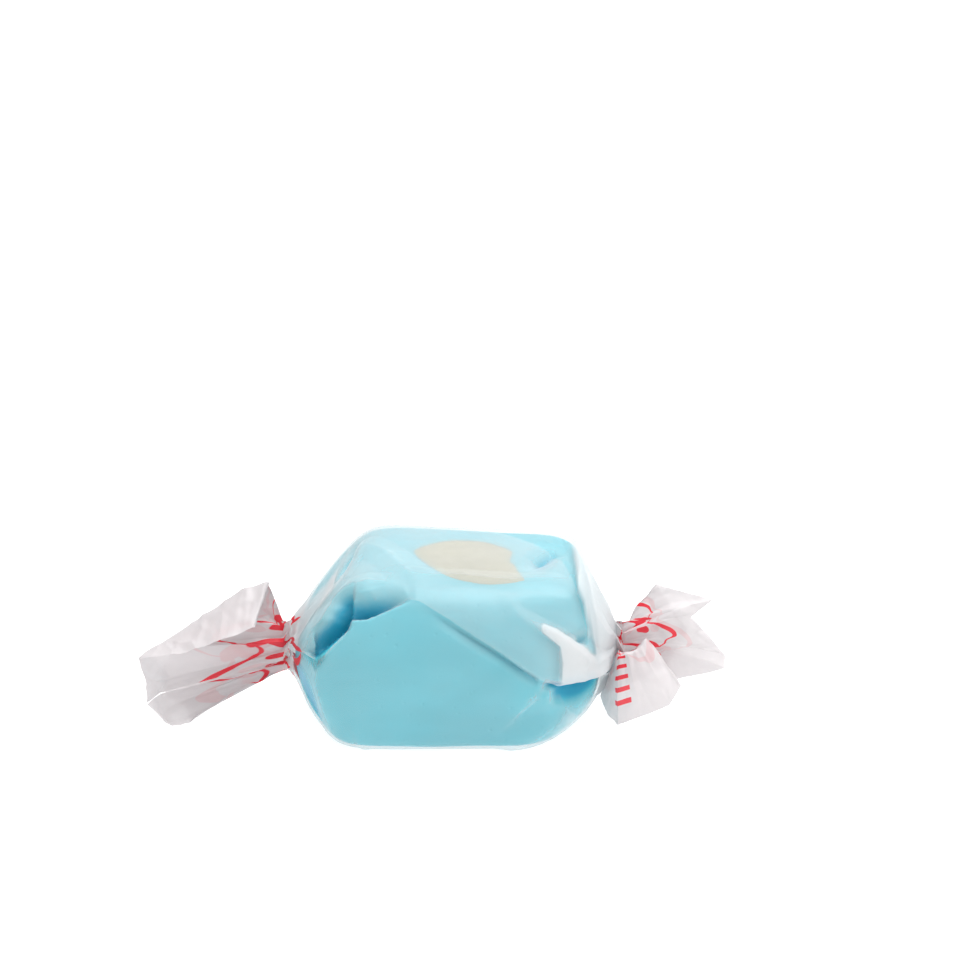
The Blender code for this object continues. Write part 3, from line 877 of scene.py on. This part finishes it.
def taffyMaterial(name, look):
    made, tree, shader = newMaterial(name)
    place = nodeOf(tree, "ShaderNodeNewGeometry")
    surface = nodeOf(tree, "ShaderNodeGroup", node_tree=groups["taffy"])
    tree.links.new(place.outputs["Position"], surface.inputs["Place"])
    surface.inputs["Streak Size"].default_value = look["streak"]
    surface.inputs["Pits"].default_value = taffyFinish["pits"]
    colour = blendColour(tree, surface.outputs["Streaks"], (*look["colour"], 1.0), (*look["deep"], 1.0))
    # painted shade: in dents and hollows the colour turns to the pocket shade colour, by depth
    pocketShading = between(tree, markOf(tree, "pocketShade"), *taffyFinish["shadeFromDepth"])
    colour = blendColour(tree, pocketShading, colour, (*look["pocketShade"], 1.0))
    tree.links.new(colour, shader.inputs["Base Color"])
    shader.inputs["Roughness"].default_value = taffyFinish["roughness"]
    shader.inputs["Subsurface Weight"].default_value = taffyFinish["scatter"]
    shader.inputs["Subsurface Radius"].default_value = (1.0, 1.0, 1.0)
    shader.inputs["Subsurface Scale"].default_value = taffyFinish["scatterReach"] * mm
    bumpOf(tree, surface.outputs["Height"], taffyFinish["bump"], taffyFinish["bumpDepth"], shader)
    return made


def markPocketShade(piece):  # how far each point of the taffy is pressed in, for the painted shade in its colour
    points = np.empty(len(piece.data.vertices) * 3)
    piece.data.vertices.foreach_get("co", points)
    points = points.reshape(-1, 3) / mm
    angle = np.degrees(np.arctan2(points[:, 2] - paper["neckHeight"], -points[:, 1]))
    markPoints(piece, "pocketShade", dentDepth(points[:, 0], angle, asPaintedShade=True))


def cutTaffy():  # the blue block with its channel, and the cream that fills it
    skin = blockSkin()
    pieces = []
    for name, look, inside in (("blueTaffy", blueTaffy, False), ("creamCentre", creamTaffy, True)):
        piece = gridMesh(name, skin, closed=True)
        outline = []
        for turn in np.linspace(0.0, 360.0, cream["steps"], endpoint=False):
            reach = creamReach(turn) + (cream["proud"] if inside else 0.0)
            x = cream["place"][0] + reach * math.cos(math.radians(turn))
            y = cream["place"][1] + reach * math.sin(math.radians(turn))
            outline.append((x, y))
        prism = [[(x, y, z) for x, y in outline] for z in (cream["from"], cream["to"])]
        tool = gridMesh(name + "Channel", prism, closed=True)
        cut = piece.modifiers.new("channel", "BOOLEAN")
        cut.operation = "INTERSECT" if inside else "DIFFERENCE"
        cut.solver = "EXACT"
        cut.object = tool
        bpy.context.view_layer.update()
        asCut = piece.evaluated_get(bpy.context.evaluated_depsgraph_get())
        solid = bpy.data.meshes.new_from_object(asCut)
        piece.modifiers.clear()
        piece.data = solid
        bpy.data.objects.remove(tool)
        solid.materials.clear()
        solid.materials.append(taffyMaterial(name + "Finish", look))
        solid.shade_smooth()
        solid.set_sharp_from_angle(angle=math.radians(block["sharpFrom"]))
        markPocketShade(piece)
        pieces.append(piece)
    return pieces


printed = {  # along is from the neck outward, across is round the sheet, in millimetres
    "from": 12.6,
    "shift": 3.0,  # at the right end it starts this much further out
    "depth": 9.0,
    "starts": 0.5,
    "stops": 0.3,
    "endApart": 6.0,
    "repeat": 7.0,
    "stroke": 0.34,
    "covers": 0.96,
    "turnedOver": (2.3, 7.7, 0.2),  # here the right end is folded over and the print is on its other side
    "dashesAt": 8.0,
    "dashWide": (1.0, 1.1),
    "dashLong": (0.36, 0.42),  # as a share of the step
    "dashStep": 0.82,
    "dashesOver": (6.5, 11.3, 0.1),
    "behindShift": (3.1, -1.2, 2.0),  # the layer behind, whose print shows through faintly
    "behindRepeat": 8.0,
    "behindStroke": 0.5,
    "showing": 0.16,
}


def ribbonOf(tree, place, repeat, stroke):
    made = nodeOf(tree, "ShaderNodeGroup", node_tree=groups["ribbon"])
    tree.links.new(place, made.inputs["Place"])
    made.inputs["Repeat"].default_value = repeat
    made.inputs["Stroke"].default_value = stroke
    return made.outputs["Ink"]


def paperPrint(tree, parts):  # where there is ink on this layer, and how much shows from the layer behind
    across, along = parts.outputs[0], parts.outputs[1]
    rightEnd = calc(tree, "GREATER_THAN", along, 0.0)
    begins = calc(tree, "MULTIPLY_ADD", rightEnd, printed["shift"], printed["from"])
    fromNeck = calc(tree, "SUBTRACT", calc(tree, "ABSOLUTE", along), begins)
    place = nodeOf(tree, "ShaderNodeCombineXYZ")
    tree.links.new(across, place.inputs[0])
    tree.links.new(fromNeck, place.inputs[1])
    tree.links.new(calc(tree, "MULTIPLY", calc(tree, "SIGN", along), printed["endApart"]), place.inputs[2])
    starts = between(tree, fromNeck, 0.0, printed["starts"])
    stops = between(tree, fromNeck, printed["depth"], printed["depth"] + printed["stops"], 1.0, 0.0)
    ends = calc(tree, "MULTIPLY", starts, stops)
    turned = calc(tree, "MULTIPLY", window(tree, across, *printed["turnedOver"]), rightEnd)
    facing = calc(tree, "SUBTRACT", 1.0, turned)
    scroll = ribbonOf(tree, place.outputs[0], printed["repeat"], printed["stroke"])
    ink = calc(tree, "MULTIPLY", scroll, calc(tree, "MULTIPLY", ends, facing))
    beside = calc(tree, "ABSOLUTE", calc(tree, "SUBTRACT", across, printed["dashesAt"]))
    inStep = calc(tree, "FRACT", calc(tree, "DIVIDE", fromNeck, printed["dashStep"]))
    wide = between(tree, beside, *printed["dashWide"], 1.0, 0.0)
    dash = calc(tree, "MULTIPLY", wide, between(tree, inStep, *printed["dashLong"], 1.0, 0.0))
    row = calc(tree, "MULTIPLY", window(tree, fromNeck, *printed["dashesOver"]), rightEnd)
    ink = calc(tree, "MAXIMUM", ink, calc(tree, "MULTIPLY", dash, row))
    behind = nodeOf(tree, "ShaderNodeVectorMath", operation="ADD")
    tree.links.new(place.outputs[0], behind.inputs[0])
    behind.inputs[1].default_value = printed["behindShift"]
    other = ribbonOf(tree, behind.outputs[0], printed["behindRepeat"], printed["behindStroke"])
    return ink, calc(tree, "MULTIPLY", calc(tree, "MULTIPLY", other, ends), printed["showing"])


waxed = {
    "white": (0.80, 0.795, 0.80),
    "endWhiteShaded": (0.69, 0.655, 0.665),  # the flared ends, a little pinker, and greyer as painted shade
    "endsOver": (14.4, 17.0),
    "ink": (0.78, 0.015, 0.035),
    "clinging": 0.205,  # how much it covers where it lies on the taffy
    "inside": 0.17,  # the same for the inner layer under the outer one
    "clearOverShade": (0.25, 1.1, 1.0, 0.06),  # over a pocket, from this depth to that, it covers less, so the painted pocket shade shows through
    "off": 0.79,  # and where it stands off
    "endOff": 0.93,  # at the flared ends, where several layers lie together
    "slantSheen": 2.0,  # how much more it covers where it is seen at a slant, for the longer path through the paper and as a painted sheen
    "whitens": (0.42, 1.0),  # gap to the taffy, in millimetres, over which it turns white
    "roughness": (0.40, 0.54),
    "through": 0.25,
    "fibreScale": 1400.0,
    "fibreDetail": 4.0,
    "fibreGap": 0.12,  # the fibres make the edge of the white uneven
    "fibreShade": 0.08,
    "shade": (0.3, 0.3, 0.3, 1.0),
    "noiseEdge": (0.3, 0.7),
    "waxScale": 170.0,
    "waxDetail": 3.0,
    "waxThick": (0.93, 1.08),
    "bump": 0.3,
    "bumpDepth": 0.08,
}


def paperCover(tree, fibre, position, flared):  # how much the paper hides of what lies behind it
    uneven = calc(tree, "SUBTRACT", fibre.outputs[0], 0.5)
    gap = calc(tree, "MULTIPLY_ADD", uneven, waxed["fibreGap"], markOf(tree, "offTaffy"))
    away = between(tree, gap, *waxed["whitens"])
    cling = between(tree, markOf(tree, "seen"), 0.2, 0.8, waxed["inside"], waxed["clinging"])
    # painted shade: over pockets it covers less, so the darker pocket shade beneath shows
    cling = calc(tree, "MULTIPLY", cling, between(tree, markOf(tree, "pocketShade"), *waxed["clearOverShade"]))
    # painted sheen: seen at a slant, the paper covers more and looks whiter
    slantSheen = nodeOf(tree, "ShaderNodeLayerWeight")
    slantSheen.inputs[0].default_value = 0.5
    slantAndSheen = calc(tree, "MULTIPLY_ADD", calc(tree, "POWER", slantSheen.outputs["Facing"], 2.0), waxed["slantSheen"], 1.0)
    wax = noiseOf(tree, position, waxed["waxScale"], waxed["waxDetail"])
    patches = between(tree, wax.outputs[0], *waxed["noiseEdge"], *waxed["waxThick"])
    cling = calc(tree, "MULTIPLY", cling, calc(tree, "MULTIPLY", slantAndSheen, patches))
    off = between(tree, flared, 0.0, 1.0, waxed["off"], waxed["endOff"])
    return calc(tree, "MULTIPLY_ADD", away, calc(tree, "SUBTRACT", off, cling), cling)


def paperMaterial():
    made, tree, shader = newMaterial("waxedPaperFinish")
    place = nodeOf(tree, "ShaderNodeUVMap", uv_map="paperPlace")
    parts = nodeOf(tree, "ShaderNodeSeparateXYZ")
    tree.links.new(place.outputs[0], parts.inputs[0])
    where = nodeOf(tree, "ShaderNodeNewGeometry")
    fibre = noiseOf(tree, where.outputs["Position"], waxed["fibreScale"], waxed["fibreDetail"])
    ink, showing = paperPrint(tree, parts)
    flared = between(tree, calc(tree, "ABSOLUTE", parts.outputs[1]), *waxed["endsOver"])
    cover = paperCover(tree, fibre, where.outputs["Position"], flared)
    alpha = calc(tree, "MAXIMUM", cover, calc(tree, "MULTIPLY", ink, printed["covers"]))
    red = (*waxed["ink"], 1.0)
    # the flared ends take the greyer colour, which is painted shade
    colour = blendColour(tree, flared, (*waxed["white"], 1.0), (*waxed["endWhiteShaded"], 1.0))
    shade = calc(tree, "MULTIPLY", fibre.outputs[0], waxed["fibreShade"])
    colour = blendColour(tree, shade, colour, waxed["shade"])
    colour = blendColour(tree, ink, blendColour(tree, showing, colour, red), red)
    tree.links.new(colour, shader.inputs["Base Color"])
    rough = between(tree, fibre.outputs[0], *waxed["noiseEdge"], *waxed["roughness"])
    tree.links.new(rough, shader.inputs["Roughness"])
    bumpOf(tree, fibre.outputs[0], waxed["bump"], waxed["bumpDepth"], shader)
    glow = nodeOf(tree, "ShaderNodeBsdfTranslucent")
    tree.links.new(colour, glow.inputs["Color"])
    body = nodeOf(tree, "ShaderNodeMixShader")
    body.inputs[0].default_value = waxed["through"]
    tree.links.new(shader.outputs[0], body.inputs[1])
    tree.links.new(glow.outputs[0], body.inputs[2])
    clear = nodeOf(tree, "ShaderNodeBsdfTransparent")
    sheet = nodeOf(tree, "ShaderNodeMixShader")
    tree.links.new(alpha, sheet.inputs[0])
    tree.links.new(clear.outputs[0], sheet.inputs[1])
    tree.links.new(body.outputs[0], sheet.inputs[2])
    tree.links.new(sheet.outputs[0], tree.nodes["Material Output"].inputs["Surface"])
    return made


blue, creamPiece = cutTaffy()
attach(blue, "root")
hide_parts("taffy_block")
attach(creamPiece, "root")
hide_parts("cream_centre")
print("taffy made:", len(blue.data.polygons), len(creamPiece.data.polygons))

wrapper = makePaper()
wrapper.data.materials.append(paperMaterial())
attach(wrapper, "root")
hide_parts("wrapper")
print("paper made:", len(wrapper.data.polygons))


# The studio: a white floor, white surroundings, a soft light above and two weak ones in front

studio = {
    "target": (3.0, 0.0, 22.5),
    "lens": 300.0,
    "sensor": 36.0,
    "pixels": 960.0,
    "mmPerPixel": 0.0909,
    "clip": (0.01, 10.0),
    "elevation": 20.0,
    "floorSize": 3000.0,
    "floorWhite": 0.36,
    "floorRoughness": 0.9,
    "floorGlow": 0.86,
    "air": 0.54,
}

lamps = (
    {"name": "softTop", "place": (70.0, 90.0, 420.0), "size": 340.0, "energy": 2.25},
    {"name": "softRight", "place": (330.0, -190.0, 120.0), "size": 220.0, "energy": 0.5},
    {"name": "softLeft", "place": (-260.0, -260.0, 40.0), "size": 200.0, "energy": 0.3},
)


def makeStudio():
    bpy.ops.mesh.primitive_plane_add(size=studio["floorSize"] * mm, location=(0.0, 0.0, 0.0))
    floor = bpy.context.object
    floor.name = "studioFloor"
    white, _, table = newMaterial("studioWhite")
    table.inputs["Base Color"].default_value = (*[studio["floorWhite"]] * 3, 1.0)
    table.inputs["Roughness"].default_value = studio["floorRoughness"]
    table.inputs["Emission Color"].default_value = (1.0, 1.0, 1.0, 1.0)
    table.inputs["Emission Strength"].default_value = studio["floorGlow"]
    floor.data.materials.append(white)
    world = bpy.data.worlds.new("studioAir")
    bpy.context.scene.world = world
    world.use_nodes = True
    air = world.node_tree.nodes["Background"]
    air.inputs["Color"].default_value = (1.0, 1.0, 1.0, 1.0)
    air.inputs["Strength"].default_value = studio["air"]
    for lamp in lamps:
        light = bpy.data.lights.new(lamp["name"], "AREA")
        light.size = lamp["size"] * mm
        light.energy = lamp["energy"]
        made = bpy.data.objects.new(lamp["name"], light)
        made.location = [c * mm for c in lamp["place"]]
        made.rotation_euler = (-made.location).to_track_quat("-Z", "Y").to_euler()
        bpy.context.scene.collection.objects.link(made)


def makeCamera():
    eye = bpy.data.cameras.new("camera")
    eye.lens = studio["lens"]
    eye.sensor_width = studio["sensor"]
    eye.clip_start, eye.clip_end = studio["clip"]
    distance = studio["lens"] / (studio["sensor"] / studio["pixels"] / studio["mmPerPixel"])
    lean = math.radians(studio["elevation"])
    target = Vector(studio["target"])
    spot = target + Vector((0.0, -math.cos(lean), math.sin(lean))) * distance
    camera = bpy.data.objects.new("camera", eye)
    camera.location = spot * mm
    camera.rotation_euler = (target - spot).to_track_quat("-Z", "Y").to_euler()
    bpy.context.scene.collection.objects.link(camera)
    bpy.context.scene.camera = camera
    bpy.context.scene.view_settings.view_transform = "Standard"


makeStudio()
makeCamera()
print("studio and camera ready")
